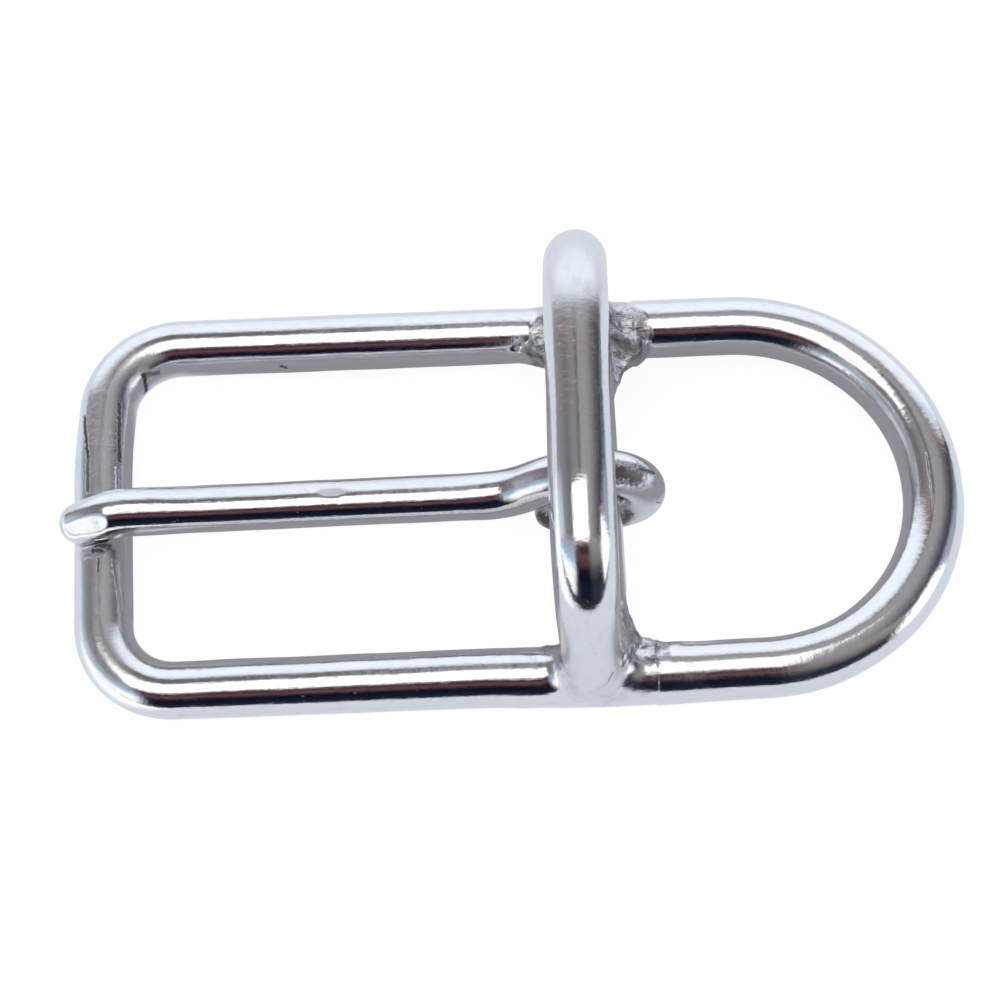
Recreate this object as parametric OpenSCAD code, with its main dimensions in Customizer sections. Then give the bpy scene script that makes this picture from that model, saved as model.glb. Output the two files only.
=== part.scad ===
// Strap buckle of welded wire with a swinging tongue, a keeper loop and a ring end.
// The origin is the middle of the centre bar. X runs towards the ring end and Z is up.

/* [Frame] */
// Width of the strap that passes between the arms
strap_w = 25.4; // [22:0.1:30]
// Diameter of the wire of the frame
frame_wire = 4.6; // [4.2:0.1:5]
// Distance from the centre bar to the middle of the crossbar
crossbar_reach = 39; // [32:0.5:50]
// Bend radius of the two frame corners, at the middle of the wire
corner_bend = 6; // [4:0.5:9]

/* [Centre bar] */
// Diameter of the centre bar
bar_d = 4.1; // [3.9:0.1:4.2]
// Height of the bar's middle over the middle of the arms
bar_rise = 3.4; // [3.4:0.1:3.6]

/* [Keeper] */
// Diameter of the wire of the keeper loop
keeper_wire = 4.7; // [4.4:0.1:5]
// Height of the keeper over the surface that the buckle lies on
keeper_h = 23.3; // [22:0.1:28]
// Bend radius of the keeper's two upper corners, at the middle of the wire
keeper_bend = 8.5; // [5:0.5:10]
// Distance from the bar's middle back to the keeper's feet
keeper_back = 0.4; // [0.2:0.1:1]
// Lean of the keeper towards the crossbar, in degrees
keeper_lean = 3.2; // [0:0.1:4]

/* [Ring end] */
// Diameter of the wire of the ring end
ring_wire = 4.8; // [4.4:0.1:5]
// Distance from the centre bar to the inside of the ring end
ring_reach = 24.7; // [22:0.1:32]

/* [Welds] */
// How far the ground weld reaches along each arm from the keeper's feet
weld_len = 4.4; // [3.8:0.1:5]
// How much the weld is ground below the surface of the wire
weld_ground = 0.1; // [0.05:0.01:0.15]
// Radius of the fillet between a keeper leg and the top of an arm
leg_fillet = 1.6; // [1:0.1:3]
// Radius of the wire-like web between the bar and an arm
web_r = 1.4; // [1:0.1:1.5]

/* [Tongue] */
// Diameter of the tongue's wire
tongue_wire = 3.8; // [3.4:0.1:4]
// Diameter of the wire where it is drawn thinner round the bar
eye_wire = 3.5; // [3.2:0.1:3.5]
// Gap between the eye and the centre bar
eye_gap = 0.05; // [0.03:0.01:0.1]
// Distance of the tongue from the middle of the bar, towards one arm
tongue_side = 1.3; // [0:0.1:3]
// Distance that the tip reaches past the crossbar
tip_past = 0.8; // [0.5:0.1:2]
// Angle that the tip is turned down, in degrees
tip_turn = 30; // [10:1:33]
// Length of the swan neck that climbs from the shaft to the eye
neck_len = 9; // [8:0.5:10]
// Angle of wire past the bottom of the eye, in degrees
eye_wrap = 50; // [45:1:75]
// Slant of the wrapped wire towards the middle of the bar, in degrees
eye_slant = 4; // [2:2:6]
// Depth of the seat pressed in the crossbar
seat_depth = 0.6; // [0.4:0.1:0.8]
// Gap between the resting tongue and its seat
seat_gap = 0.15; // [0.1:0.01:0.25]

/* [Hidden] */
$fn = 72;

// Wire radii
frame_r = frame_wire / 2;
keeper_r = keeper_wire / 2;
ring_r = ring_wire / 2;
bar_r = bar_d / 2;
tongue_r = tongue_wire / 2;
eye_r = eye_wire / 2;

// Middle lines of the frame, the ring end and the keeper, all resting on one surface
arm_y = strap_w / 2 + frame_r;
ring_y = strap_w / 2 + ring_r;
arm_z = -bar_rise;
rest_z = arm_z - frame_r;
ring_z = rest_z + ring_r;
ring_x = ring_reach + ring_r - ring_y;
foot_r = keeper_r + 0.02;
foot_x = -keeper_back;
foot_z = rest_z + foot_r;
crown_h = keeper_h - foot_r - keeper_r;

// Welds
frame_weld_r = frame_r - weld_ground;
ring_weld_r = ring_r - weld_ground;
fillet_wire_r = frame_weld_r - 0.1;
fillet_bend = leg_fillet + fillet_wire_r;
ring_start = foot_x + weld_len;
weld_bite = 0.2;
web_reach = 4;

// Tongue
eye_bend = bar_r + eye_gap + eye_r;
shaft_z = arm_z + frame_r - seat_depth + seat_gap + tongue_r;
neck_rise = eye_bend - shaft_z;
neck_slope = 0.75; // rise over run of a 3-4-5 triangle, so the bends meet on exact numbers
neck_turn = atan(neck_slope);
neck_bend = (neck_len * sin(neck_turn) - neck_rise * cos(neck_turn)) / (2 - 2 * cos(neck_turn));
neck_straight = (neck_len - 2 * neck_bend * sin(neck_turn)) / cos(neck_turn);
tip_bend = 5;
tip_r = tongue_r - 0.05;
tip_x = -crossbar_reach - frame_r - tip_past + tip_r + tip_bend * sin(tip_turn);

metal = [0.78, 0.79, 0.81];
tongue_metal = [0.7, 0.72, 0.75];

// Straight wire along X from x0 to x1, its radius going from r0 to r1
module wire_x(x0, x1, r0, r1) {
    translate([x0, 0, 0])
        rotate([0, 90, 0])
            cylinder(h = x1 - x0, r1 = r0, r2 = r1);
}

// Wire bent flat in the XY plane round the origin
module flat_bend(bend, r, from, to) {
    rotate_extrude(angle = to - from, start = from)
        translate([bend, 0])
            circle(r = r);
}

// Wire bent upright in the XZ plane round the origin
module upright_bend(bend, r, from, to) {
    rotate([90, 0, 0])
        flat_bend(bend, r, from, to);
}

// U-shaped frame with its crossbar
module wire_frame() {
    straight = crossbar_reach - corner_bend;
    for (side = [-1, 1])
        translate([0, side * arm_y, 0])
            wire_x(-straight, foot_x - weld_len, frame_r, frame_r);
    translate([-straight, arm_y - corner_bend, 0])
        flat_bend(corner_bend, frame_r, 90, 180);
    translate([-straight, corner_bend - arm_y, 0])
        flat_bend(corner_bend, frame_r, 180, 270);
    translate([-crossbar_reach, arm_y - corner_bend, 0])
        rotate([90, 0, 0])
            cylinder(h = 2 * (arm_y - corner_bend), r = frame_r);
}

// D-shaped ring end
module ring_end() {
    for (side = [-1, 1])
        translate([0, side * ring_y, 0])
            wire_x(ring_start, ring_x, ring_r, ring_r);
    translate([ring_x, 0, 0])
        flat_bend(ring_y, ring_r, -90, 90);
}

// Upright keeper loop, with its feet at the origin
module keeper() {
    leg = crown_h - keeper_bend;
    for (side = [-1, 1])
        translate([0, side * arm_y, 0])
            cylinder(h = leg, r = keeper_r);
    translate([0, keeper_bend - arm_y, leg])
        rotate([0, 0, 90])
            upright_bend(keeper_bend, keeper_r, 90, 180);
    translate([0, arm_y - keeper_bend, leg])
        rotate([0, 0, 90])
            upright_bend(keeper_bend, keeper_r, 0, 90);
    translate([0, arm_y - keeper_bend, crown_h])
        rotate([90, 0, 0])
            cylinder(h = 2 * (arm_y - keeper_bend), r = keeper_r);
}

// Centre bar with round ends, inside the keeper's legs
module centre_bar() {
    end_y = arm_y - 0.5;
    translate([0, end_y, 0])
        rotate([90, 0, 0])
            cylinder(h = 2 * end_y, r = bar_r);
    for (side = [-1, 1])
        translate([0, side * end_y, 0])
            sphere(r = bar_r);
}

// Ground weld at one foot of the keeper, on the far side of the frame
module foot_weld() {
    translate([foot_x, arm_y, foot_z])
        sphere(r = foot_r);
    translate([0, arm_y, arm_z])
        wire_x(foot_x - weld_len - weld_bite, foot_x, frame_weld_r, frame_weld_r);
    translate([0, ring_y, ring_z])
        wire_x(foot_x, ring_start + weld_bite, ring_weld_r, ring_weld_r);
    translate([foot_x - fillet_bend, arm_y, arm_z + fillet_bend])
        upright_bend(fillet_bend, fillet_wire_r, -90, 0);
    translate([foot_x + fillet_bend, arm_y, arm_z + fillet_bend])
        upright_bend(fillet_bend, fillet_wire_r, 180, 270);
    bar_web(web_reach);
    bar_web(-web_reach);
}

// Curved web from the bar down to an arm, reaching along X
module bar_web(reach) {
    bend = norm([reach, arm_z]);
    slope = atan2(-arm_z, abs(reach));
    turn = reach > 0 ? slope : 180 - slope;
    translate([0, arm_y - bend, 0])
        rotate([0, turn, 0])
            translate([bend, 0, 0])
                flat_bend(bend, web_r, 90, 180);
}

// Shaft of the tongue from the tip to the neck, with its wire grown by a margin
module shaft(margin) {
    translate([0, 0, shaft_z])
        wire_x(tip_x, -neck_len, tongue_r + margin, tongue_r + margin);
    translate([tip_x, 0, shaft_z - tip_bend])
        upright_bend(tip_bend, tongue_r + margin, 90, 90 + tip_turn);
    translate([tip_x - tip_bend * sin(tip_turn), 0, shaft_z - tip_bend * (1 - cos(tip_turn))])
        sphere(r = tip_r + margin);
}

// Swan neck that lifts the wire from the shaft to the top of the eye
module neck() {
    translate([-neck_len, 0, shaft_z + neck_bend])
        upright_bend(neck_bend, tongue_r, 270, 270 + neck_turn);
    translate([0, 0, eye_bend - neck_bend])
        rotate([0, -neck_turn, 0])
            translate([0, 0, neck_bend])
                wire_x(-neck_straight, 0, tongue_r, eye_r);
    translate([0, 0, eye_bend - neck_bend])
        upright_bend(neck_bend, eye_r, 90, 90 + neck_turn);
}

// Eye wrapped round the bar, its lower half slanting to one side
module eye() {
    upright_bend(eye_bend, eye_r, 0, 90);
    translate([eye_bend, 0, 0])
        rotate([0, 0, -eye_slant])
            translate([-eye_bend, 0, 0])
                upright_bend(eye_bend, eye_r, -90 - eye_wrap, 0);
}

// Welded wire body
module frame() {
    color(metal) difference() {
        union() {
            translate([0, 0, arm_z])
                wire_frame();
            translate([0, 0, ring_z])
                ring_end();
            translate([foot_x, 0, foot_z])
                rotate([0, -keeper_lean, 0])
                    keeper();
            centre_bar();
            foot_weld();
            mirror([0, 1, 0])
                foot_weld();
        }
        translate([0, -tongue_side, 0])
            shaft(seat_gap);
    }
}

// Swinging tongue
module tongue() {
    color(tongue_metal) translate([0, -tongue_side, 0]) {
        shaft(0);
        neck();
        eye();
    }
}

frame();
tongue();
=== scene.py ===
"""Strap buckle of polished welded wire, lying on a pale table.

Lengths in the geometry are millimetres in the CAD row's frame; put_mesh turns them into metres. The near side is
the camera's side, at negative Y.
"""

import bpy
import numpy as np
from mathutils import Matrix, Vector


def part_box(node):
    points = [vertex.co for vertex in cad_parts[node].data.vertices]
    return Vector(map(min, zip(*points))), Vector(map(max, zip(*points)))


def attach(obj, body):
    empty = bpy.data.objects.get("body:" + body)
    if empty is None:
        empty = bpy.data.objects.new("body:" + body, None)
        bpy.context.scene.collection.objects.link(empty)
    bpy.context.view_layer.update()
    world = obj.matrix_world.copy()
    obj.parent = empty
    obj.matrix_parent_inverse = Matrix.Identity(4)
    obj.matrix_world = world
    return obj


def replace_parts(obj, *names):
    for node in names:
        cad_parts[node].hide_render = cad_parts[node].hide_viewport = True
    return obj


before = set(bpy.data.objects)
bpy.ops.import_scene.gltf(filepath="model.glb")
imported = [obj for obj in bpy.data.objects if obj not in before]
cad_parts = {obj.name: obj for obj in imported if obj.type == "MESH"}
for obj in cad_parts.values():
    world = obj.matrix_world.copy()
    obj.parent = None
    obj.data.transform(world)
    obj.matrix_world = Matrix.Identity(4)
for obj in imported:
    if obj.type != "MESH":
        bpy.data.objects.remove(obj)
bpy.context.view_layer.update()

MM = 0.001
TURN = 2 * np.pi

# Wire radii
FRAME_R = 2.3
RING_R = 2.4
KEEPER_R = 2.35
BAR_R = 2.05
SHAFT_R = 1.9
EYE_R = 1.73
NOSE_R = 1.65

# Middle lines, from the CAD box where they show there
frame_low, frame_high = (np.array(corner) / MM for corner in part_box("frame"))
REST_Z = frame_low[2]
ARM_Z = REST_Z + FRAME_R
RING_Z = REST_Z + RING_R
RING_Y = frame_high[1] - RING_R
ARM_Y = RING_Y - RING_R + FRAME_R
CROSSBAR_X = frame_low[0] + FRAME_R
RING_X = frame_high[0] - RING_R
CROWN_Z = frame_high[2] - KEEPER_R
BAR_END = ARM_Y - 0.5

# Bends, at the middle of the wire
CORNER_BEND_FAR = 6.0
CORNER_BEND_NEAR = 5.7
CROSSBAR_BEND = 60
RING_BEND_NEAR = 14.7
RING_BEND_FAR = 15.1

# Keeper: its feet, its lean towards the crossbar, its twist along Y, and its bends
FOOT_X = -0.4
FOOT_Z = REST_Z + KEEPER_R + 0.02
KEEPER_LEAN = np.radians(3.2)
KEEPER_TWIST = 0.02
KEEPER_INWARD = 0.3
KEEPER_BEND_NEAR = 6.0
KEEPER_BEND_FAR = 9.2
SHOULDER_BEND = 12.0
SHOULDER_DROP = 2.7
SHOULDER_IN = 5.9

# Tongue
TONGUE_Y = -1.2
TONGUE_YAW = 0.007
EYE_BEND = 3.85
SHAFT_Z = 0.35
NECK_LEN = 9.0
NECK_TURN = np.arctan(0.75)
NOSE_X = -36.35
NOSE_BEND = 7.2
NOSE_TURN = np.radians(33)
EYE_WRAP = np.radians(54)
SEAT_GAP = 0.12
DENT_X = -20.3
WORN_X = -39.7

# Welds: where the two wires end along X, how widely each pair of wires melts together, and how far the metal spreads
FRAME_WIRE_END = -4.8
RING_WIRE_END = 4.1
LEG_MELT = 1.9
BAR_MELT_NEAR = 3.8
BAR_MELT_FAR = 8.0
LEAST_MELT = 0.3
WELD_MIDDLE = np.array([FOOT_X + 0.3, 0, -1.9])
WELD_SIDE = 13.3
WELD_REACH = 4.9
WELD_FADE = 0.5
GROUND_EDGE = 0.25
GROUND_SIDE = 0.8

# Skins: points along a line as it is laid out, rays round a wire and over its ends, and steps along a wire
LINE_POINTS = 8001
ARC_POINTS = 121
LINE_STEP = 0.1
ROUND_THICK = 96
ROUND_THIN = 88
DOME_ROWS = 10
ARM_STEP = 0.36
KEEPER_STEP = 0.28
BAR_STEP = 0.3
TONGUE_STEP = 0.2
FINE_STEP = 0.13
UPWARDS = np.array([0, 0, 1.0])

# Search for a skin: how far past the wire it may lie, how often the last step is halved, how soon it dives under
# another wire, and half the step that its normal is measured over
SEARCH_PAST = 3.6
HALVINGS = 22
DIVE = 1.4
NORMAL_STEP = 0.01


def ease(value, low, high):
    """Smooth step: 0 at low, 1 at high, and 3t^2 - 2t^3 between."""
    t = np.clip((value - low) / (high - low), 0, 1)
    return t * t * (3 - 2 * t)


def hump(value, middle, width):
    """Bell curve: 1 at the middle, falling as exp(-(distance / width)^2)."""
    return np.exp(-(((value - middle) / width) ** 2))


def unit(vectors):
    """Each vector over its own length."""
    return vectors / np.maximum(np.linalg.norm(vectors, axis=-1, keepdims=True), 1e-9)


def melt(a, b, width):
    """Smaller of two distances, rounded where they are alike: min(a, b) - (width - |a - b|)^2 / (4 width)."""
    near = np.clip(width - np.abs(a - b), 0, None)
    return np.minimum(a, b) - near * near / (4 * width)


def cut(a, b, width):
    """Larger of two distances with a rounded edge, so b cuts a away."""
    return -melt(-a, -b, width)


def lumps(points, wavelength, seed):
    """Smooth noise, about -1 to 1: the mean of 14 sine waves in random directions, times the root of 14."""
    dice = np.random.default_rng(seed)
    count = 14
    waves = unit(dice.normal(size=(count, 3))) * dice.uniform(0.7, 1.5, (count, 1)) * TURN / wavelength
    total = sum(np.sin(points @ wave + dice.uniform(0, TURN)) for wave in waves)
    return total / np.sqrt(count)


def arc(middle, bend, start, end):
    """Points in the XZ plane: middle + bend * (cos a, sin a), with a from start to end."""
    a = np.linspace(start, end, ARC_POINTS)
    return np.stack([middle[0] + bend * np.cos(a), np.zeros_like(a), middle[1] + bend * np.sin(a)], 1)


def rounded_line(corners, bends):
    """Straight runs joined by circular bends, as points close together.

    Each run is cut back by bend / tan(half the corner's angle), and an arc of that bend fills the cut.
    """
    corners = [np.array(corner, float) for corner in corners]
    pieces = [corners[0][None]]
    for before, corner, after, bend in zip(corners, corners[1:], corners[2:], bends):
        back, ahead = unit(before - corner), unit(after - corner)
        half = np.arccos(np.clip(back @ ahead, -1, 1)) / 2
        middle = corner + unit(back + ahead) * bend / np.sin(half)
        start = corner + back * bend / np.tan(half) - middle
        end = corner + ahead * bend / np.tan(half) - middle
        t = np.linspace(0, 1, ARC_POINTS)[:, None]
        sweep = np.pi - 2 * half
        pieces.append(middle + (np.sin((1 - t) * sweep) * start + np.sin(t * sweep) * end) / np.sin(sweep))
    pieces.append(corners[-1][None])
    return np.concatenate(pieces)


def even_points(line, step):
    """Points along a line with step(points) millimetres between them, and the length passed at each."""
    length = np.r_[0, np.cumsum(np.linalg.norm(np.diff(line, axis=0), axis=1))]
    fine = np.linspace(0, length[-1], LINE_POINTS)
    points = np.stack([np.interp(fine, length, line[:, k]) for k in range(3)], 1)
    density = 1 / step(points)
    passed = np.r_[0, np.cumsum((density[1:] + density[:-1]) / 2 * np.diff(fine))]
    at = np.interp(np.linspace(0, passed[-1], int(passed[-1]) + 2), passed, fine)
    return np.stack([np.interp(at, fine, points[:, k]) for k in range(3)], 1), at


def every(step):
    """The same step all along a line."""
    return lambda points: np.full(len(points), step)


class Rays:
    """The rays that carry a wire's skin: rows along its middle line, columns round it, a dome of rows at each end.

    A ray starts on the middle line and points out square to it. In a dome it turns towards the end by up to
    90 degrees. The first column lies on the side given by the cross product of across and the line.
    """

    def __init__(self, line, step, across, around):
        points, passed = even_points(line, step)
        along = unit(np.gradient(points, axis=0))
        side = unit(np.cross(across, along))
        top = np.cross(along, side)
        tilt = np.linspace(np.pi / 2, 0, DOME_ROWS + 1)[:-1]
        rows = np.r_[np.zeros(DOME_ROWS, int), np.arange(len(points)), np.full(DOME_ROWS, len(points) - 1)]
        self.tilts = np.r_[-tilt, np.zeros(len(points)), tilt[::-1]]
        self.turn = np.linspace(0, TURN, around, endpoint=False)
        self.start = points[rows][:, None]
        self.along = along[rows][:, None]
        self.passed = passed[rows]
        cos_turn, sin_turn = np.cos(self.turn)[None, :, None], np.sin(self.turn)[None, :, None]
        round_ = cos_turn * side[rows][:, None] + sin_turn * top[rows][:, None]
        cos_tilt, sin_tilt = np.cos(self.tilts)[:, None, None], np.sin(self.tilts)[:, None, None]
        self.out = cos_tilt * round_ + sin_tilt * self.along
        self.ahead = -sin_tilt * round_ + cos_tilt * self.along

    def at(self, reach):
        """Points on the rays at the given distances from the middle line."""
        return self.start + reach[..., None] * self.out

    def lean(self, radius):
        """How the wire's own distance grows in space: out - (change along) ahead - (change round / girth) sideways."""
        sideways = np.cross(self.ahead, self.out)
        steps = self.passed + radius.mean(1) * self.tilts
        along = np.gradient(radius, steps, axis=0)
        turned = np.roll(radius, -1, 1) - np.roll(radius, 1, 1)
        girth = radius * np.maximum(np.cos(self.tilts), 0.2)[:, None]
        round_ = turned / (2 * TURN / len(self.turn)) / girth
        return self.out - along[..., None] * self.ahead - round_[..., None] * sideways


def uneven(rays, depth, wavelength, seed, out=1.2):
    """Unevenness that the drawing left in a wire's radius: depth * (noise - 1)."""
    return depth * (lumps(rays.start + out * rays.out, wavelength, seed) - 1)


# Distances to the wires near the welds. Both sides of the buckle are alike, so Y is folded.


def arm_distance(points):
    """Distance across the line of an arm, less the wire's radius."""
    x, y, z = points[..., 0], points[..., 1], points[..., 2]
    return np.hypot(np.abs(y - sag(x, y)) - arm_y(x), z - arm_z(x)) - arm_radius(x, y)


def arm_y(x):
    """Middle of an arm from side to side: the ring's thicker wire lies further out than the frame's."""
    return ARM_Y + (RING_Y - ARM_Y) * ease(x, -3, 2)


def arm_z(x):
    """Height of an arm's middle: the ring's thicker wire lies higher than the frame's."""
    return ARM_Z + (RING_Z - ARM_Z) * ease(x, -3, 2)


def sag(x, y):
    """Step of the near arm towards the viewer beside the weld, where the heat let it sag outwards by 0.1 mm."""
    return np.where(y < -10, -0.1, 0) * ease(x, -9, -5) * ease(x, 12, 6)


def arm_radius(x, y):
    """Radius along an arm: the frame's wire, and the ring's wire past its end.

    The wire dips where the frame's own wire ends and swells between the feet. On the near side the weld is fuller,
    and the ring's wire beyond it was ground thinner.
    """
    dip = 0.05 * hump(x, FRAME_WIRE_END, 1.0)
    swell = 0.09 * hump(x, -0.3, 2.8)
    fuller = 0.07 * ease(x, -8, -5) * ease(x, 6, 3)
    thinner = 0.1 * ease(x, 5, 8) * ease(x, 24, 18)
    ring = (RING_R - FRAME_R) * ease(x, RING_WIRE_END - 0.12, RING_WIRE_END + 0.12)
    return FRAME_R - dip + swell + np.where(y < 0, fuller - thinner, 0) + ring


def leg_distance(points):
    """Distance to a leaning straight leg of the keeper, round at the foot, less the wire's radius."""
    x, y, z = points[..., 0], points[..., 1], points[..., 2]
    up = np.array([-np.sin(KEEPER_LEAN), 0, np.cos(KEEPER_LEAN)])
    away = np.stack([x - FOOT_X - KEEPER_TWIST * y, np.abs(y) - ARM_Y, z - FOOT_Z], -1)
    height = np.maximum(away @ up, 0)
    return np.linalg.norm(away - height[..., None] * up, axis=-1) - leg_radius(height)


def leg_radius(height):
    """Radius of the keeper's wire, which the grinding narrows at the foot."""
    return KEEPER_R - 0.06 * ease(height, 2.4, 0.4)


def bar_distance(points):
    """Distance to the centre bar, round at its ends, less its radius."""
    over = np.clip(np.abs(points[..., 1]) - BAR_END, 0, None)
    return np.sqrt(points[..., 0] ** 2 + points[..., 2] ** 2 + over**2) - BAR_R


def oval(rays):
    """Out-of-round part of the near arm: up to 0.09 mm more along one diagonal and as much less along the other.

    The full diagonal points up and near at the crossbar's end and turns to up and far at the ring's.
    """
    x, y = rays.start[..., 0], rays.start[..., 1]
    return 0.09 * np.clip((x + 12) / 20, -1, 1) * ease(-y, 12, 15) * np.sin(2 * rays.turn)


def weld_metal(points):
    """1 in the weld metal round a foot of the keeper, falling to 0 outside.

    It is an egg round the joint, longest towards the ring. The near weld's outside was ground nearly smooth.
    """
    away = points - WELD_MIDDLE
    lengthways = np.where(away[..., 0] > 0, 0.8, 1.05) * away[..., 0]
    gap = np.sqrt(lengthways**2 + (np.abs(away[..., 1]) - WELD_SIDE) ** 2 + (1.2 * away[..., 2]) ** 2)
    ground = 0.75 * ease(-points[..., 1], 13.6, 14.8)
    return ease(gap + 0.2 * lumps(points, 2.2, 5), WELD_REACH, WELD_REACH - WELD_FADE) * (1 - ground)


def tongue_distance(points):
    """Distance to the resting tongue's shaft and nose bend, less their radius."""
    x, y, z = points[..., 0], points[..., 1] - tongue_y(points[..., 0]), points[..., 2]
    turn = np.clip(np.arctan2(NOSE_X - x, z - SHAFT_Z + NOSE_BEND), 0, NOSE_TURN)
    on_bend = np.hypot(x - NOSE_X + NOSE_BEND * np.sin(turn), z - SHAFT_Z + NOSE_BEND * (1 - np.cos(turn)))
    across = np.where(x > NOSE_X, z - SHAFT_Z, on_bend)
    return np.hypot(y, across) - nose_radius(NOSE_BEND * (NOSE_TURN - turn))


def tongue_y(x):
    """Middle of the tongue's wire from side to side: a straight line whose last 5 mm swing to the near side."""
    return TONGUE_Y + TONGUE_YAW * np.minimum(x, 0) - 0.24 * ease(-x, 35.5, 40.5)


def nose_radius(passed):
    """Radius of the tongue's wire by the length from its tip, which is thinner over the first 3 mm."""
    return NOSE_R + (SHAFT_R - NOSE_R) * ease(passed, -0.5, 3.2)


WELDED = {"arm": arm_distance, "leg": leg_distance, "bar": bar_distance}


def welded_body(name):
    """Function for the distance to the whole welded body, seen from one wire, and to the nearest other wire.

    The wires melt into each other over the arms, most on the far side, and are ground flush below. The tongue's
    seat is cut out, and the welds keep a hand-ground unevenness.
    """
    def body(own, points):
        x, y, z = points[..., 0], points[..., 1], points[..., 2]
        near = {key: own if key == name else distance(points) for key, distance in WELDED.items()}
        over = 0.02 + 0.98 * ease(z, ARM_Z - 0.8, ARM_Z + 1.6)
        whole = melt(near["arm"], near["leg"], LEG_MELT * over)
        spread = np.where(y > 0, BAR_MELT_FAR, BAR_MELT_NEAR) - 1.6 * ease(-x, 0, 3)
        spread = spread * (1 - 0.8 * ease(x, 4.2, 6.6))
        low_and_inside = ease(z, 0.8, -1.2) * ease(np.abs(y), 14.6, 12.4)
        spread = LEAST_MELT + (spread - LEAST_MELT) * low_and_inside
        whole = melt(whole, near["bar"], spread)
        rough = weld_metal(points) * ease(z, ARM_Z - 2.5, ARM_Z)
        relief = 0.08 * lumps(points, 2.6, 3) + 0.016 * lumps(points, 0.9, 4)
        whole = whole + rough * relief
        ground = cut(REST_Z - z, np.abs(y) - RING_Y - RING_R, GROUND_SIDE)
        whole = cut(whole, ground, GROUND_EDGE)
        seated = cut(whole, SEAT_GAP - tongue_distance(points), GROUND_EDGE)
        whole = np.where(x < -30, seated, whole)
        others = np.min([value for key, value in near.items() if key != name], axis=0)
        return whole, others
    return body


def skin(rays, radius, body):
    """Reach of each ray to the body's surface, and the normal there.

    A ray stops where the body's distance passes zero. Past the line where another wire is nearer, a growing amount
    is added to the distance, so this skin dives under the other wire's. The normal is the way the distance grows.
    """
    def hidden(reach):
        own = reach - radius
        distance, others = body(own, rays.at(reach))
        return distance + 3 * ease(own - others, 0, DIVE)

    steps = np.linspace(0.25, 1, 16)[:, None, None] * radius
    steps = np.concatenate([steps, radius + np.linspace(0.08, SEARCH_PAST, 45)[:, None, None]])
    low, high = radius * 0.2, steps[-1].copy()
    found = np.zeros(radius.shape, bool)
    for step in steps:
        outside = hidden(step) > 0
        high = np.where(outside & ~found, step, high)
        low = np.where(~found & ~outside, step, low)
        found |= outside
    for _ in range(HALVINGS):
        middle = (low + high) / 2
        outside = hidden(middle) > 0
        high = np.where(outside, middle, high)
        low = np.where(outside, low, middle)
    reach = (low + high) / 2
    own, points, lean = reach - radius, rays.at(reach), rays.lean(radius)
    grown = []
    for k, axis in enumerate(np.eye(3) * NORMAL_STEP):
        own_change = NORMAL_STEP * lean[..., k]
        ahead = body(own + own_change, points + axis)[0]
        behind = body(own - own_change, points - axis)[0]
        grown.append(ahead - behind)
    return reach, unit(np.stack(grown, -1))


def put_mesh(name, rays, reach, normals, weld, body, material, brushed):
    """Skin mesh: quads between neighbouring rays, and a fan to one point in the middle of each dome.

    The vector attribute drawn holds each point as it lay when the wire was still straight, in millimetres. Weld
    holds 0 on bare wire to 1 on weld metal, and brushed 0 where the wire is polished to 1 where it was left matt.
    """
    rows, around = reach.shape
    points = rays.at(reach)
    poles = np.stack([points[0].mean(0), points[-1].mean(0)])
    vertices = np.concatenate([points.reshape(-1, 3), poles]) * MM
    index = np.arange(rows * around).reshape(rows, around)
    beside = np.roll(index, -1, 1)
    quads = np.stack([index[:-1], beside[:-1], beside[1:], index[1:]], -1).reshape(-1, 4)
    first = np.stack([beside[0], index[0], np.full(around, rows * around)], -1)
    last = np.stack([index[-1], beside[-1], np.full(around, rows * around + 1)], -1)
    mesh = bpy.data.meshes.new(name)
    mesh.from_pydata(vertices.tolist(), [], quads.tolist() + first.tolist() + last.tolist())
    passed = np.repeat(rays.passed[:, None], around, 1)
    drawn = np.stack([passed, reach * np.cos(rays.turn), reach * np.sin(rays.turn)], -1)
    drawn = np.concatenate([drawn.reshape(-1, 3), drawn[[0, -1]].mean(1)])
    attribute = mesh.attributes.new("drawn", "FLOAT_VECTOR", "POINT")
    attribute.data.foreach_set("vector", drawn.ravel())
    for key, share in (("weld", weld), ("brushed", brushed + 0 * reach)):
        attribute = mesh.attributes.new(key, "FLOAT", "POINT")
        attribute.data.foreach_set("value", np.r_[share.ravel(), share[0].mean(), share[-1].mean()])
    mesh.shade_smooth()
    ends = unit(np.stack([normals[0].mean(0), normals[-1].mean(0)]))
    mesh.normals_split_custom_set_from_vertices(np.concatenate([normals.reshape(-1, 3), ends]).tolist())
    mesh.materials.append(material)
    piece = bpy.data.objects.new(name, mesh)
    bpy.context.scene.collection.objects.link(piece)
    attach(piece, body)
    return piece


# Shader nodes


def plug(tree, value, socket):
    """Link an output to a socket, or set the socket to a constant."""
    if isinstance(value, bpy.types.NodeSocket):
        tree.links.new(value, socket)
    elif socket.type == "RGBA":
        socket.default_value = (*value, 1)
    else:
        socket.default_value = value


def node(tree, kind, **values):
    """New node, its sockets linked or set, and its settings set, by name."""
    made = tree.nodes.new(kind)
    for key, value in values.items():
        if key in made.inputs:
            plug(tree, value, made.inputs[key])
        else:
            setattr(made, key, value)
    return made


def math(tree, operation, *values, clamp=False):
    """Output of a math node on sockets and numbers."""
    made = node(tree, "ShaderNodeMath", operation=operation, use_clamp=clamp)
    for socket, value in zip(made.inputs, values):
        plug(tree, value, socket)
    return made.outputs[0]


def vector(tree, operation, a, b, out=0):
    """Output of a vector math node. SCALE takes its number in the fourth socket, the others b in the second."""
    made = node(tree, "ShaderNodeVectorMath", operation=operation)
    plug(tree, a, made.inputs[0])
    plug(tree, b, made.inputs[3 if operation == "SCALE" else 1])
    return made.outputs[out]


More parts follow.
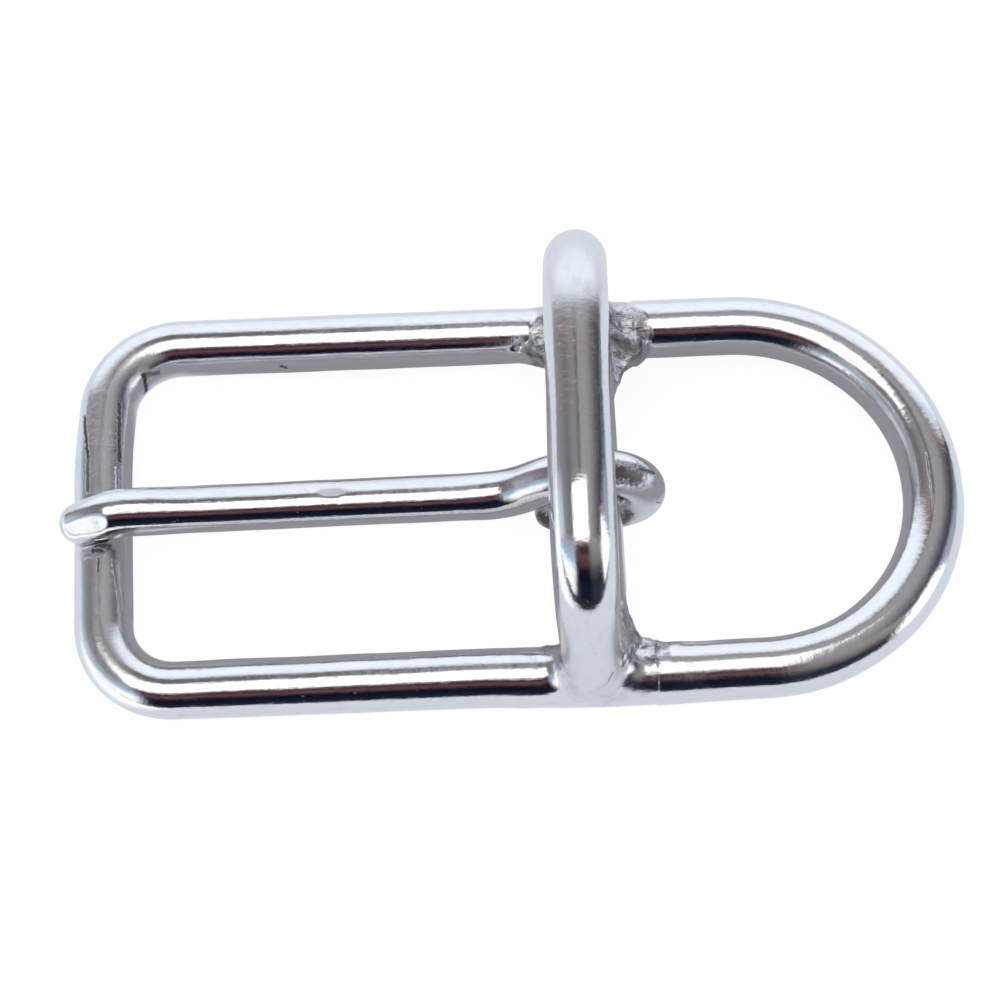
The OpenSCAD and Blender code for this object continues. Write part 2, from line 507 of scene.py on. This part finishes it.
def parts(tree, place):
    """The x, y and z of a vector."""
    return node(tree, "ShaderNodeSeparateXYZ", Vector=place).outputs


def noise(tree, place, scale, detail, roughness):
    """Noise, about 0.3 to 0.7."""
    made = node(tree, "ShaderNodeTexNoise", Vector=place, Scale=scale, Detail=detail, Roughness=roughness)
    return made.outputs["Fac"]


def rise(tree, value, low, high):
    """Smooth step node: 0 below low and 1 above high."""
    made = node(tree, "ShaderNodeMapRange", interpolation_type="SMOOTHSTEP", Value=value)
    made.inputs["From Min"].default_value = low
    made.inputs["From Max"].default_value = high
    return made.outputs["Result"]


def ramp(tree, value, stops):
    """Colour ramp from (position, colour) stops."""
    made = node(tree, "ShaderNodeValToRGB", Fac=value)
    elements = made.color_ramp.elements
    while len(elements) < len(stops):
        elements.new(0.5)
    for element, (position, colour) in zip(elements, stops):
        element.position = position
        element.color = (*colour, 1)
    return made.outputs[0]


def fade(tree, value, low, high):
    """Straight step as a ramp: black up to low, white from high."""
    return ramp(tree, value, [(low, (0, 0, 0)), (high, (1, 1, 1))])


def mix(tree, share, a, b):
    """Colour mix: a where share is 0, b where it is 1. The sockets 0, 6 and 7 are those of colours."""
    made = node(tree, "ShaderNodeMix", data_type="RGBA")
    for socket, value in ((0, share), (6, a), (7, b)):
        plug(tree, value, made.inputs[socket])
    return made.outputs[2]


def sockets(tree, side, **kinds):
    """Sockets of a node group, each given as (kind, default or None)."""
    for name, (kind, value) in kinds.items():
        made = tree.interface.new_socket(name, in_out=side, socket_type="NodeSocket" + kind)
        if value is not None:
            made.default_value = value


def group(tree, made, **values):
    """Outputs of a node group placed in a tree."""
    return node(tree, "ShaderNodeGroup", node_tree=made, **values).outputs


# Steel finishes


def make_wire_marks():
    """Node group: the marks of drawing, polishing and handling on a wire.

    Fine lines run along the wire, faint rings run round it, and small nicks are scattered over it.
    """
    tree = bpy.data.node_groups.new("wire marks", "ShaderNodeTree")
    sockets(tree, "INPUT", Place=("Vector", None), Fineness=("Float", 1.0), Nicks=("Float", 0.5))
    sockets(tree, "OUTPUT", Height=("Float", None), Scuffs=("Float", None))
    start, end = tree.nodes.new("NodeGroupInput"), tree.nodes.new("NodeGroupOutput")

    def stretched(along, round_, detail):
        place = vector(tree, "MULTIPLY", start.outputs["Place"], (along, round_, round_))
        return noise(tree, place, 1.0, detail, 0.6)

    lines = stretched(0.35, 6.0, 5)
    ripple = stretched(1.3, 0.9, 2)
    peel = stretched(6.0, 7.0, 3)
    scuffs = fade(tree, stretched(0.8, 1.6, 3), 0.52, 0.75)
    nicks = math(tree, "GREATER_THAN", stretched(2.2, 3.6, 1), 0.76)
    nicks = math(tree, "MULTIPLY", nicks, start.outputs["Nicks"])
    height = math(tree, "ADD", math(tree, "MULTIPLY", lines, 0.8), math(tree, "MULTIPLY", ripple, 2.6))
    height = math(tree, "ADD", height, math(tree, "MULTIPLY", peel, 0.55))
    height = math(tree, "MULTIPLY", height, start.outputs["Fineness"])
    height = math(tree, "SUBTRACT", height, nicks)
    tree.links.new(height, end.inputs["Height"])
    tree.links.new(scuffs, end.inputs["Scuffs"])
    return tree


def make_weld_grain():
    """Node group: ground weld metal, with sandpaper grain, slanting grinding strokes, dark pits and worn patches."""
    tree = bpy.data.node_groups.new("weld grain", "ShaderNodeTree")
    sockets(tree, "INPUT", Place=("Vector", None))
    sockets(tree, "OUTPUT", Height=("Float", None), Dark=("Float", None))
    start, end = tree.nodes.new("NodeGroupInput"), tree.nodes.new("NodeGroupOutput")
    place = start.outputs["Place"]
    slanted = node(tree, "ShaderNodeMapping", Vector=place, Rotation=(0.3, 0.2, 0.9), Scale=(0.9, 6.5, 3.0))
    strokes = noise(tree, slanted.outputs[0], 1.0, 3.0, 0.6)
    grain = noise(tree, place, 4.5, 5.0, 0.75)
    pits = fade(tree, noise(tree, place, 2.4, 4.0, 0.7), 0.58, 0.68)
    worn = fade(tree, noise(tree, place, 0.9, 3.0, 0.6), 0.47, 0.62)
    hatching = fade(tree, strokes, 0.5, 0.62)
    height = math(tree, "MULTIPLY_ADD", grain, 0.32, strokes)
    height = math(tree, "SUBTRACT", height, math(tree, "MULTIPLY", pits, 0.3))
    worn = math(tree, "MULTIPLY", worn, math(tree, "MULTIPLY_ADD", hatching, 0.45, 0.45))
    dark = math(tree, "MAXIMUM", math(tree, "MULTIPLY", pits, 0.6), worn)
    tree.links.new(height, end.inputs["Height"])
    tree.links.new(dark, end.inputs["Dark"])
    return tree


def make_scratch():
    """Node group: one scratch, dent or mark of painted shade or reflection, 1 along the line from Start to End, falling
    to 0 at a ragged edge.

    The edge lies about Width away from the line.
    """
    tree = bpy.data.node_groups.new("scratch", "ShaderNodeTree")
    line = {"Start": ("Vector", None), "End": ("Vector", None), "Width": ("Float", 0.2)}
    sockets(tree, "INPUT", Place=("Vector", None), **line)
    sockets(tree, "OUTPUT", Mask=("Float", None))
    start, end = tree.nodes.new("NodeGroupInput"), tree.nodes.new("NodeGroupOutput")
    place = start.outputs["Place"]
    run = vector(tree, "SUBTRACT", start.outputs["End"], start.outputs["Start"])
    away = vector(tree, "SUBTRACT", place, start.outputs["Start"])
    passed = vector(tree, "DOT_PRODUCT", away, run, 1)
    along = math(tree, "DIVIDE", passed, vector(tree, "DOT_PRODUCT", run, run, 1), clamp=True)
    gap = vector(tree, "DISTANCE", away, vector(tree, "SCALE", run, along), 1)
    ragged = math(tree, "MULTIPLY_ADD", noise(tree, place, 3.2, 4.0, 0.75), 3.6, -0.9)
    reach = math(tree, "MULTIPLY", start.outputs["Width"], ragged)
    mask = math(tree, "SUBTRACT", 1.0, math(tree, "DIVIDE", gap, reach), clamp=True)
    tree.links.new(math(tree, "MULTIPLY", mask, 1.7, clamp=True), end.inputs["Mask"])
    return tree


# Tones of sooty weld metal and of scratches and painted shade, the polish's roughness and what each wear adds to
# it, and the heights of a wire's marks and of the weld's grain in metres
WELD_TONE = (0.07, 0.065, 0.07)
SCRATCH_AND_PAINTED_SHADE_TONE = (0.075, 0.05, 0.045)
POLISH_ROUGH = 0.12
SCUFFS_ROUGH = 0.08
MATT_ROUGH = 0.2
SCRATCH_ROUGH = 0.3
MARK_HEIGHT = 0.000007
GRAIN_HEIGHT = 0.00011


def polished_steel(name, tint, fineness, nicks, scratches_and_painted_shade):
    """Polished wire: a mirror with faint lines along it, matter where it is brushed, and greyer weld metal.

    Each scratch, dent or mark of painted shade or reflection is given by its start, end, half width, darkness and
    depth, in millimetres of the frame.
    """
    material = bpy.data.materials.new(name)
    material.use_nodes = True
    tree = material.node_tree
    shader = tree.nodes["Principled BSDF"]
    shader.inputs["Metallic"].default_value = 1.0
    drawn = node(tree, "ShaderNodeAttribute", attribute_name="drawn").outputs["Vector"]
    weld = node(tree, "ShaderNodeAttribute", attribute_name="weld").outputs["Fac"]
    brushed = node(tree, "ShaderNodeAttribute", attribute_name="brushed").outputs["Fac"]
    place = vector(tree, "SCALE", node(tree, "ShaderNodeTexCoord").outputs["Object"], 1 / MM)
    marks = group(tree, wire_marks, Place=drawn, Fineness=fineness, Nicks=nicks)
    grain = group(tree, weld_grain, Place=place)
    dark, depth = 0.0, 0.0
    for begin, end, width, darkness, deep in scratches_and_painted_shade:
        mask = group(tree, scratch, Place=place, Start=begin, End=end, Width=width)["Mask"]
        dark = math(tree, "MAXIMUM", dark, math(tree, "MULTIPLY", mask, darkness))
        depth = math(tree, "MULTIPLY_ADD", mask, deep, depth)
    scuffed = tuple(0.6 * c for c in tint)
    colour = mix(tree, math(tree, "MULTIPLY", marks["Scuffs"], 0.16), tint, scuffed)
    soot = math(tree, "MULTIPLY_ADD", grain["Dark"], 0.75, 0.2)
    colour = mix(tree, math(tree, "MULTIPLY", weld, soot), colour, WELD_TONE)
    # Scratches darken the steel here, and so do the marks of painted shade and painted dark reflection among them
    colour = mix(tree, dark, colour, SCRATCH_AND_PAINTED_SHADE_TONE)
    tree.links.new(colour, shader.inputs["Base Color"])
    matt = math(tree, "MAXIMUM", math(tree, "MULTIPLY", weld, 0.5), brushed)
    rough = math(tree, "MULTIPLY_ADD", marks["Scuffs"], SCUFFS_ROUGH, POLISH_ROUGH)
    rough = math(tree, "MULTIPLY_ADD", matt, MATT_ROUGH, rough)
    rough = math(tree, "MULTIPLY_ADD", dark, SCRATCH_ROUGH, rough)
    tree.links.new(rough, shader.inputs["Roughness"])
    grainy = math(tree, "MULTIPLY_ADD", brushed, 0.07, math(tree, "MULTIPLY", weld, 0.4))
    height = math(tree, "MULTIPLY", marks["Height"], MARK_HEIGHT)
    height = math(tree, "MULTIPLY_ADD", math(tree, "MULTIPLY", grain["Height"], grainy), GRAIN_HEIGHT, height)
    height = math(tree, "MULTIPLY_ADD", depth, -MM, height)
    bump = node(tree, "ShaderNodeBump", Strength=1.0, Distance=1.0, Height=height)
    tree.links.new(bump.outputs[0], shader.inputs["Normal"])
    return material


wire_marks = make_wire_marks()
weld_grain = make_weld_grain()
scratch = make_scratch()
frame_steel = polished_steel("polished frame steel", (0.80, 0.80, 0.81), 1.0, 0.5, [
    ((-40.5, 8.1, -1.7), (-40.0, 4.4, -1.3), 0.26, 0.9, 0.02),
    ((-40.0, 4.4, -1.3), (-39.9, 1.3, -1.3), 0.28, 0.75, 0.02),
    # Painted shade: darkness in the hollow of the tongue's seat, under the nose
    ((-39.3, -3.9, -1.2), (-38.6, -4.0, -1.15), 0.3, 0.9, 0.06),
    ((-40.1, -4.2, -1.5), (-39.4, -4.3, -1.25), 0.34, 0.0, -0.1),
    ((-38.8, -4.6, -1.1), (-38.8, -5.8, -1.1), 0.14, 0.85, 0.02),
    # Painted reflection: a dark line along the crossbar's inner top, where the dark room is mirrored
    ((-37.7, 9.0, -1.5), (-37.55, 4.0, -1.7), 0.27, 0.85, 0.01),
    ((-37.68, 3.3, -1.6), (-37.62, 1.6, -1.6), 0.24, 0.0, -0.03),
    ((-37.7, -4.8, -1.4), (-37.2, -8.4, -1.7), 0.22, 0.0, -0.06),
    ((-37.2, -8.4, -1.7), (-36.9, -10.5, -1.8), 0.22, 0.0, -0.06),
    ((-35.9, 11.9, -2.0), (-35.9, 11.2, -3.4), 0.36, 0.9, 0.06),
    ((-35.9, 11.9, -2.0), (-34.8, 12.4, -2.6), 0.3, 0.6, 0.04),
    ((-24.8, 12.8, -2.9), (-24.4, 12.8, -3.2), 0.22, 0.8, 0.04),
    ((5.3, 13.9, -0.6), (4.6, 12.3, -0.9), 0.35, 0.95, 0.08),
    ((5.6, 12.6, -1.4), (6.2, 12.3, -2.3), 0.3, 0.95, 0.08),
    ((2.6, 12.4, 0.0), (4.0, 11.9, -1.2), 1.1, 0.55, 0.02),
    ((-5.2, 12.9, -1.6), (-4.2, 12.5, -2.0), 0.6, 0.7, 0.03),
    ((2.6, -14.9, -0.4), (3.8, -15.0, -0.8), 0.5, 0.8, 0.03),
    ((0.1, -17.3, 0.0), (0.5, -16.8, 1.6), 0.14, 0.7, 0.04),
    # Painted reflection: a thin dark line along the ring's right side, where a dark line of the room is mirrored
    ((26.5, 1.6, -1.0), (26.5, -3.6, -0.9), 0.1, 0.5, 0.02),
])
tongue_steel = polished_steel("polished tongue steel", (0.79, 0.79, 0.80), 1.1, 0.6, [
    ((-4.3, -1.7, -2.4), (-3.4, -2.9, -2.0), 0.7, 0.85, 0.05),
    # Painted shade: darkness in the hollow under the eye, between it and the bar
    ((2.6, -2.7, -1.1), (2.2, -2.7, -2.6), 0.7, 0.8, 0.05),
    # The eye's top: a scratch and shallow dents, whose darkness is partly a painted reflection of the dark room
    ((1.6, -1.9, 5.1), (3.2, -2.0, 4.2), 0.95, 0.8, 0.02),
    ((3.4, -1.4, 4.4), (4.5, -1.2, 3.2), 0.26, 0.8, 0.03),
    ((4.8, -2.6, 0.8), (5.1, -2.3, 0.2), 0.1, 0.7, 0.04),
    ((5.2, -2.2, -0.6), (5.3, -1.9, -1.0), 0.1, 0.7, 0.04),
])


# The welded body's wires


def frame_piece(name, wire, rays, radius, matt=lambda points: 0.0):
    """One wire of the welded body, with the skin that it shows between the others."""
    reach, normals = skin(rays, radius, welded_body(wire))
    points = rays.at(reach)
    return put_mesh(name, rays, reach, normals, weld_metal(points), "buckle_frame", frame_steel,
                    matt(points))


def arm_rays(line):
    """Rays along a wire that runs through the arms, with the near arm's sag."""
    line[:, 1] += sag(line[:, 0], line[:, 1])
    return Rays(line, fine_near_welds, UPWARDS, ROUND_THICK)


def finer(step, share):
    """Step along a wire: as given where the share is 0, and fine where it is 1."""
    return step - (step - FINE_STEP) * share


def fine_near_welds(points):
    """Step along an arm, fine near the welds and the seat."""
    x, y = points[:, 0], points[:, 1]
    weld = ease(np.abs(x), 9, 6.5)
    seat = hump(y, TONGUE_Y, 3.0) * ease(x, -30, -36)
    return finer(ARM_STEP, np.clip(weld + seat, 0, 1))


def drawn_radius(rays, seed):
    """Radius of a wire that runs through the arms, out of round on the near side and a little uneven."""
    radius = arm_radius(rays.start[..., 0] + 0 * rays.turn, rays.start[..., 1])
    return radius + uneven(rays, 0.012, 7.0, seed) + oval(rays)


def frame_wire():
    """The U-shaped wire, whose crossbar bows out a little beyond its middle and is left half matt."""
    far, bowed, near = CROSSBAR_X + 0.45, CROSSBAR_X - 0.15, CROSSBAR_X + 0.6
    corners = [(FOOT_X, ARM_Y, ARM_Z), (far, ARM_Y, ARM_Z), (bowed, 5, ARM_Z),
               (near, -ARM_Y, ARM_Z), (FOOT_X, -ARM_Y, ARM_Z)]
    line = rounded_line(corners, [CORNER_BEND_FAR, CROSSBAR_BEND, CORNER_BEND_NEAR])
    rays = arm_rays(even_points(line, every(LINE_STEP))[0])
    matt = 0.5 * ease(rays.start[..., 0], -35, -37)
    return frame_piece("frame_wire", "arm", rays, drawn_radius(rays, 11), lambda points: matt)


def ring_wire():
    """The D-shaped wire, whose near bend is a little tighter than its far bend."""
    corners = [(FOOT_X, -RING_Y, RING_Z), (RING_X, -RING_Y, RING_Z), (RING_X, RING_Y, RING_Z), (FOOT_X, RING_Y, RING_Z)]
    line = even_points(rounded_line(corners, [RING_BEND_NEAR, RING_BEND_FAR]), every(LINE_STEP))[0]
    arm = line[:, 0] < 4
    line[arm, 1] = np.sign(line[arm, 1]) * arm_y(line[arm, 0])
    line[arm, 2] = arm_z(line[arm, 0])
    rays = arm_rays(line)
    return frame_piece("ring_wire", "arm", rays, drawn_radius(rays, 12))


def keeper_wire():
    """The upright keeper loop, leaning towards the crossbar and twisted a little.

    It has two legs and a crown that slopes to a tighter near corner, and it is left matt on the crown's far end and
    on the near leg's outside.
    """
    height = (CROWN_Z - FOOT_Z) / np.cos(KEEPER_LEAN)
    corners = [(0, -ARM_Y, 0), (0, -ARM_Y, height - SHOULDER_DROP), (0, SHOULDER_IN - ARM_Y, height),
               (0, ARM_Y - KEEPER_INWARD, height), (0, ARM_Y, 0)]
    line = rounded_line(corners, [KEEPER_BEND_NEAR, SHOULDER_BEND, KEEPER_BEND_FAR])
    cos, sin = np.cos(KEEPER_LEAN), np.sin(KEEPER_LEAN)
    lean = np.array([[cos, 0, -sin], [0, 1, 0], [sin, 0, cos]])
    line = line @ lean.T + (FOOT_X, 0, FOOT_Z)
    line[:, 0] += KEEPER_TWIST * line[:, 1]
    rays = Rays(line, lambda points: finer(KEEPER_STEP, ease(points[:, 2], 4, 1)), lean[:, 0], ROUND_THICK)
    foot = np.minimum(rays.passed, rays.passed[-1] - rays.passed)[:, None]
    fuller = 0.09 * hump(foot, 22, 8) * np.sin(rays.turn) ** 2
    radius = leg_radius(foot) + fuller + uneven(rays, 0.012, 7.0, 13)

    def matt(points):
        y, z = points[..., 1], points[..., 2]
        return ease(y, 3, 8) * ease(z, 8, 12) + ease(-y, 14.5, 16.5) * ease(z, 13, 10)

    return frame_piece("keeper_wire", "leg", rays, radius, matt)


def bar_wire():
    """The centre bar, whose round ends are buried in the welds."""
    line = np.array([(0, -BAR_END, 0), (0, BAR_END, 0)], float)
    rays = Rays(line, lambda points: finer(BAR_STEP, ease(np.abs(points[:, 1]), 7, 9)), UPWARDS, ROUND_THIN)
    return frame_piece("bar_wire", "bar", rays, BAR_R + uneven(rays, 0.01, 6.0, 14))


def tongue_wire():
    """The tongue: a turned-down nose, a straight shaft, a swan neck, and an eye that ends in a flat cut.

    The eye's lower half sits a little to the far side. The shaft has a flat dent on top and the nose a worn facet.
    """
    climb = EYE_BEND - SHAFT_Z
    bend = (NECK_LEN * np.sin(NECK_TURN) - climb * np.cos(NECK_TURN)) / (2 - 2 * np.cos(NECK_TURN))
    nose = arc((NOSE_X, SHAFT_Z - NOSE_BEND), NOSE_BEND, np.pi / 2 + NOSE_TURN, np.pi / 2)
    neck = arc((-NECK_LEN, SHAFT_Z + bend), bend, -np.pi / 2, -np.pi / 2 + NECK_TURN)
    brow = arc((0, EYE_BEND - bend), bend, np.pi / 2 + NECK_TURN, np.pi / 2)
    front = arc((0, 0), EYE_BEND, np.pi / 2, 0)
    under = arc((0, 0), EYE_BEND, 0, -np.pi / 2 - EYE_WRAP)
    turned = np.linspace(0, np.pi / 2 + EYE_WRAP, len(under))
    under[:, 1] = 0.3 * ease(turned, 0, 1.1) - 0.35 * ease(turned, 1.5, 2.4)
    line = np.concatenate([nose, neck, brow, front[1:], under[1:]])
    line[:, 1] += tongue_y(line[:, 0])
    rays = Rays(line, every(TONGUE_STEP), np.array([0, 1.0, 0]), ROUND_THIN)
    passed = rays.passed[:, None] + 0 * rays.turn
    shaft = ease(rays.start[..., 0], -35, -31) * ease(rays.start[..., 0], -8, -11)
    radius = nose_radius(passed) + (EYE_R - SHAFT_R) * ease(passed, 34, 42) + uneven(rays, 0.01, 6.0, 15, 1.0)
    radius = radius + 0.07 * shaft * np.sin(2 * rays.turn)
    last, ahead = line[-1], rays.along[-1, 0]
    at_end = passed > passed[-1] - 2.5
    dent_up, dent_at = np.array([0, 0.084, 0.996]), np.array([DENT_X, tongue_y(DENT_X), SHAFT_Z])
    worn_up, worn_at = np.array([-0.344, -0.688, 0.638]), np.array([WORN_X, tongue_y(WORN_X), SHAFT_Z - 0.83])

    def body(own, points):
        x = points[..., 0]
        flat = (points - dent_at) @ dent_up - SHAFT_R + 0.075 - (x - DENT_X) ** 2 / 20
        own = np.where(np.abs(x - DENT_X) < 3, cut(own, flat, 0.02), own)
        away = points - worn_at
        above = away @ worn_up
        across = (away**2).sum(-1) - above**2
        worn = above - 1.56 + across / 40 - 0.4 * ease(x, -38.5, -36.5)
        own = np.where(x < -36.5, cut(own, worn, 0.1), own)
        cut_end = (points - last) @ ahead - 0.5
        return np.where(at_end, cut(own, cut_end, 0.35), own), np.full(own.shape, 99.0)

    reach, normals = skin(rays, radius, body)
    x, y, z = np.moveaxis(rays.at(reach), -1, 0)
    dent = np.hypot((x - DENT_X) / 1.35, (y - dent_at[1] - 0.16) / 0.5)
    brushed = 0.25 * ease(x, 0.5, 3) + ease(dent, 1.1, 0.8) * ease(z, 1.9, 2.0)
    return put_mesh("tongue_wire", rays, reach, normals, 0 * reach, "buckle_tongue", tongue_steel,
                    brushed)


for piece in (frame_wire(), ring_wire(), keeper_wire(), bar_wire()):
    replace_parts(piece, "frame")
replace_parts(tongue_wire(), "tongue")


# Studio


def make_camera():
    """The photograph's camera: 64.8 degrees above the table, 186 mm from the point it looks at."""
    elevation, azimuth, roll = np.radians((64.778, -0.686, -1.607))
    away, zoom, sensor = 185.85, 2.330489, 36
    aim = np.array([-7.355, 0.113, ARM_Z])
    flat = np.cos(elevation)
    back = np.array([np.sin(azimuth) * flat, -np.cos(azimuth) * flat, np.sin(elevation)])
    level = np.array([np.cos(azimuth), np.sin(azimuth), 0])
    upright = np.cross(back, level)
    right = np.cos(roll) * level + np.sin(roll) * upright
    up = np.cos(roll) * upright - np.sin(roll) * level
    data = bpy.data.cameras.new("camera")
    data.sensor_width = sensor
    data.lens = sensor * zoom
    data.clip_start = 0.01
    camera = bpy.data.objects.new("camera", data)
    place = Matrix((right, up, back)).transposed().to_4x4()
    place.translation = Vector((aim + away * back) * MM)
    camera.matrix_world = place
    bpy.context.scene.collection.objects.link(camera)
    bpy.context.scene.camera = camera


def make_floor():
    """Pale table. The camera sees it lit past white, as in the photograph, and the steel mirrors it partly lit, partly
    painted.

    Mirrored, it is painted darker, as the buckle's shadow, in a long field under the buckle, but for a patch by the
    tongue's eye. At the left front it is painted white, as a pool of window light, and past its near edge nearly
    black. Its lengths are in metres.
    """
    size, z = 3.0, REST_Z * MM
    mesh = bpy.data.meshes.new("table")
    mesh.from_pydata([(-size, -size, z), (size, -size, z), (size, size, z), (-size, size, z)], [], [(0, 1, 2, 3)])
    table = bpy.data.objects.new("table", mesh)
    bpy.context.scene.collection.objects.link(table)
    material = bpy.data.materials.new("pale table")
    material.use_nodes = True
    tree = material.node_tree
    tree.nodes.clear()
    x, y, _ = parts(tree, node(tree, "ShaderNodeTexCoord").outputs["Object"])
    leftwards, nearwards = math(tree, "MULTIPLY", x, -1.0), math(tree, "MULTIPLY", y, -1.0)

    def length(a, b):
        return math(tree, "SQRT", math(tree, "ADD", math(tree, "MULTIPLY", a, a), math(tree, "MULTIPLY", b, b)))

    # Outside the long field of painted shadow, whose ends are round, or in the patch by the eye
    past_end = math(tree, "SUBTRACT", x, math(tree, "MINIMUM", math(tree, "MAXIMUM", x, -0.025), 0.0124))
    outside = rise(tree, length(past_end, y), 0.0125, 0.0165)
    by_eye = length(math(tree, "SUBTRACT", x, 0.005), math(tree, "ADD", y, 0.003))
    outside = math(tree, "MAXIMUM", outside, math(tree, "SUBTRACT", 0.8, rise(tree, by_eye, 0.002, 0.008)))

    # Painted pool of white window light at the left front, and the near edge, past which the mirrored tone is painted
    # nearly black
    corner = math(tree, "MULTIPLY_ADD", x, -0.44, math(tree, "MULTIPLY", y, -0.9))
    corner = math(tree, "MULTIPLY", rise(tree, corner, 0.031, 0.036), rise(tree, leftwards, 0.036, 0.044))
    corner = math(tree, "MULTIPLY", corner, rise(tree, y, -0.08, -0.06))
    edge = rise(tree, nearwards, 0.105, 0.125)

    def surface(colour, light):
        matt = node(tree, "ShaderNodeBsdfDiffuse", Color=colour)
        glow = node(tree, "ShaderNodeEmission", Color=light, Strength=1.0)
        both = tree.nodes.new("ShaderNodeAddShader")
        plug(tree, matt.outputs[0], both.inputs[0])
        plug(tree, glow.outputs[0], both.inputs[1])
        return both.outputs[0]

    # Mirrored tones with painted shade and light: lower albedo and glow in the field under the buckle, painted window
    # light at the left front, nearly black past the near edge
    lit = mix(tree, edge, mix(tree, outside, (0.24, 0.24, 0.25), (0.42, 0.43, 0.44)), (0.02, 0.02, 0.03))
    glow = mix(tree, edge, mix(tree, outside, (0.22, 0.215, 0.235), (0.54, 0.57, 0.63)), (0.004, 0.005, 0.01))
    mirrored = surface(lit, mix(tree, corner, glow, (1.0, 1.03, 1.06)))
    seen = surface((0.16, 0.16, 0.16), (0.93, 0.93, 0.935))
    choice = tree.nodes.new("ShaderNodeMixShader")
    plug(tree, tree.nodes.new("ShaderNodeLightPath").outputs["Is Camera Ray"], choice.inputs[0])
    plug(tree, mirrored, choice.inputs[1])
    plug(tree, seen, choice.inputs[2])
    out = tree.nodes.new("ShaderNodeOutputMaterial")
    plug(tree, choice.outputs[0], out.inputs["Surface"])
    mesh.materials.append(material)


def tone(red, green, blue):
    """Light that the steel mirrors as this tone of the finished picture, in 0 to 255."""
    return tuple((value / 255) ** 2.2 / 0.8 for value in (red, green, blue))


def make_room():
    """Studio round the table.

    It has a softbox overhead, a pale wall on the far side with a grey gap between, a window on the right, one at the
    left front, and the dark room behind the camera. The parts are told apart by the direction's own x and y, and by
    its angle forward: from straight up towards the viewer, in degrees.
    """
    world = bpy.data.worlds.new("studio")
    bpy.context.scene.world = world
    world.use_nodes = True
    tree = world.node_tree
    background = tree.nodes["Background"]
    x, y, z = parts(tree, node(tree, "ShaderNodeTexCoord").outputs["Generated"])
    forward = math(tree, "DEGREES", math(tree, "ARCTAN2", math(tree, "MULTIPLY", y, -1.0), z))
    leftwards = math(tree, "MULTIPLY", x, -1.0)
    place_x = math(tree, "MULTIPLY_ADD", x, 0.5, 0.5)
    place_forward = math(tree, "MULTIPLY_ADD", forward, 1 / 180, 0.5)

    def both(*shares):
        product = shares[0]
        for share in shares[1:]:
            product = math(tree, "MULTIPLY", product, share)
        return product

    def short_of(value, low, high):
        return math(tree, "SUBTRACT", 1.0, rise(tree, value, low, high))

    def ramp_x(*stops):
        return ramp(tree, place_x, [((at + 1) / 2, tone(*colour)) for at, colour in stops])

    def ramp_forward(*stops):
        return ramp(tree, place_forward, [(at / 180 + 0.5, tone(*colour)) for at, colour in stops])

    gap = ramp_x((-1, (205, 210, 220)), (-0.88, (130, 130, 135)), (-0.65, (106, 102, 106)),
                 (-0.35, (130, 130, 134)), (-0.22, (124, 123, 127)), (-0.11, (88, 86, 90)),
                 (-0.06, (100, 99, 103)), (-0.02, (148, 148, 152)), (0.4, (144, 142, 144)),
                 (0.7, (92, 92, 100)), (0.85, (60, 60, 72)), (0.95, (150, 156, 170)))
    room = ramp_forward((24, (190, 170, 168)), (28, (100, 80, 82)), (34, (38, 24, 30)), (42, (98, 72, 76)),
                        (48, (84, 60, 66)), (55, (36, 26, 36)), (62, (16, 18, 32)), (76, (24, 30, 48)),
                        (90, (26, 30, 46)))
    right = ramp_forward((24, (146, 143, 142)), (45, (124, 120, 118)), (58, (80, 80, 84)), (68, (42, 44, 54)),
                         (90, (46, 50, 62)))
    left = ramp_forward((24, (156, 160, 170)), (44, (158, 172, 190)), (54, (170, 205, 235)),
                        (60, (250, 253, 255)), (90, (255, 255, 255)))
    front = mix(tree, rise(tree, x, 0.12, 0.36), room, right)
    front = mix(tree, rise(tree, leftwards, 0.42, 0.66), front, left)
    colour = mix(tree, rise(tree, forward, 23, 26), gap, front)
    wall = ramp(tree, y, [(0.49, tone(110, 86, 74)), (0.53, tone(130, 112, 104)), (0.56, tone(190, 194, 204)),
                          (0.66, tone(232, 240, 250)), (0.85, tone(238, 246, 255)), (1.0, tone(228, 234, 249))])
    wall_share = both(rise(tree, y, 0.48, 0.52), rise(tree, math(tree, "ABSOLUTE", x), 0.84, 0.77))
    colour = mix(tree, wall_share, colour, wall)
    softbox = both(rise(tree, forward, -12.5, -10), short_of(forward, 23, 26),
                   rise(tree, x, -0.6, -0.54), short_of(x, 0.2, 0.27))
    colour = mix(tree, softbox, colour, (1.6, 1.6, 1.6))
    window = both(rise(tree, x, 0.79, 0.87), rise(tree, forward, -4, 12))
    colour = mix(tree, window, colour, (1.5, 1.52, 1.56))
    tree.links.new(colour, background.inputs["Color"])
    background.inputs["Strength"].default_value = 1.0


make_camera()
make_floor()
make_room()
bpy.context.scene.view_settings.view_transform = "Standard"
